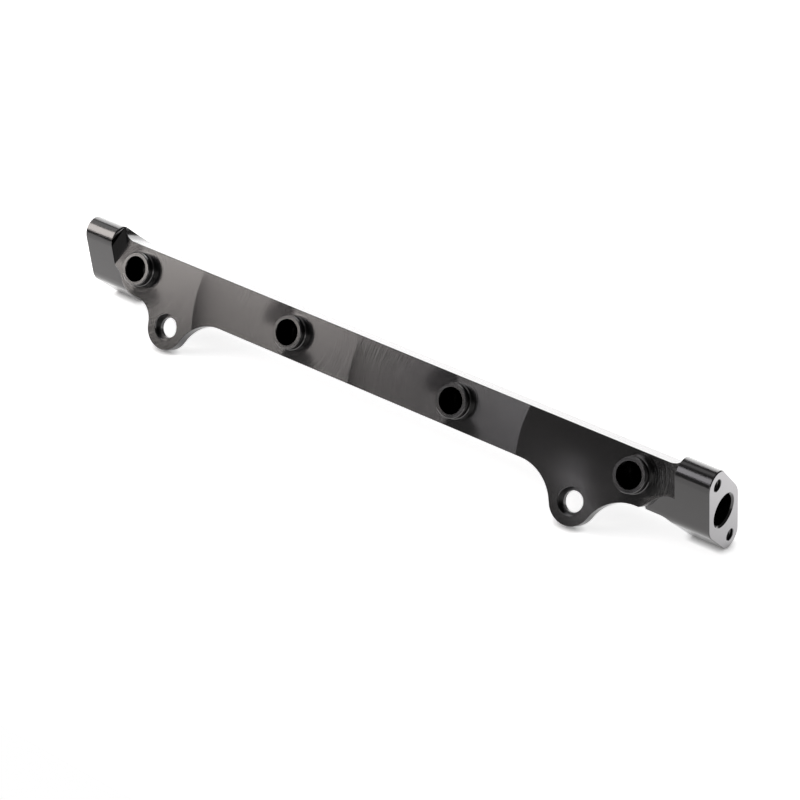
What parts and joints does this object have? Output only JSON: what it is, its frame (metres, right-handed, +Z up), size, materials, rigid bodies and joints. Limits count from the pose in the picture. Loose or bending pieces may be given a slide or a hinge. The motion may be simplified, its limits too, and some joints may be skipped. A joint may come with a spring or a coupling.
{
  "type": "fuel rail",
  "caption": "Machined fuel rail: a bar with grooved injector cups along its face, mounting ears on its lower edge, and a bolted flange with a fuel port at each end.",
  "frame": {"origin": "centre of the bounding box at the surface the rail lies on", "axes": "+X along the rail, +Z up from the surface it lies on, and the injector face leans back, so it looks towards -Y and up"},
  "size_m": [0.3296, 0.038, 0.0437],
  "materials": {
    "anodised_black": "milled and black anodised, glossy"
  },
  "bodies": {
    "root": {"rail_body": "anodised_black"}
  },
  "joints": []
}
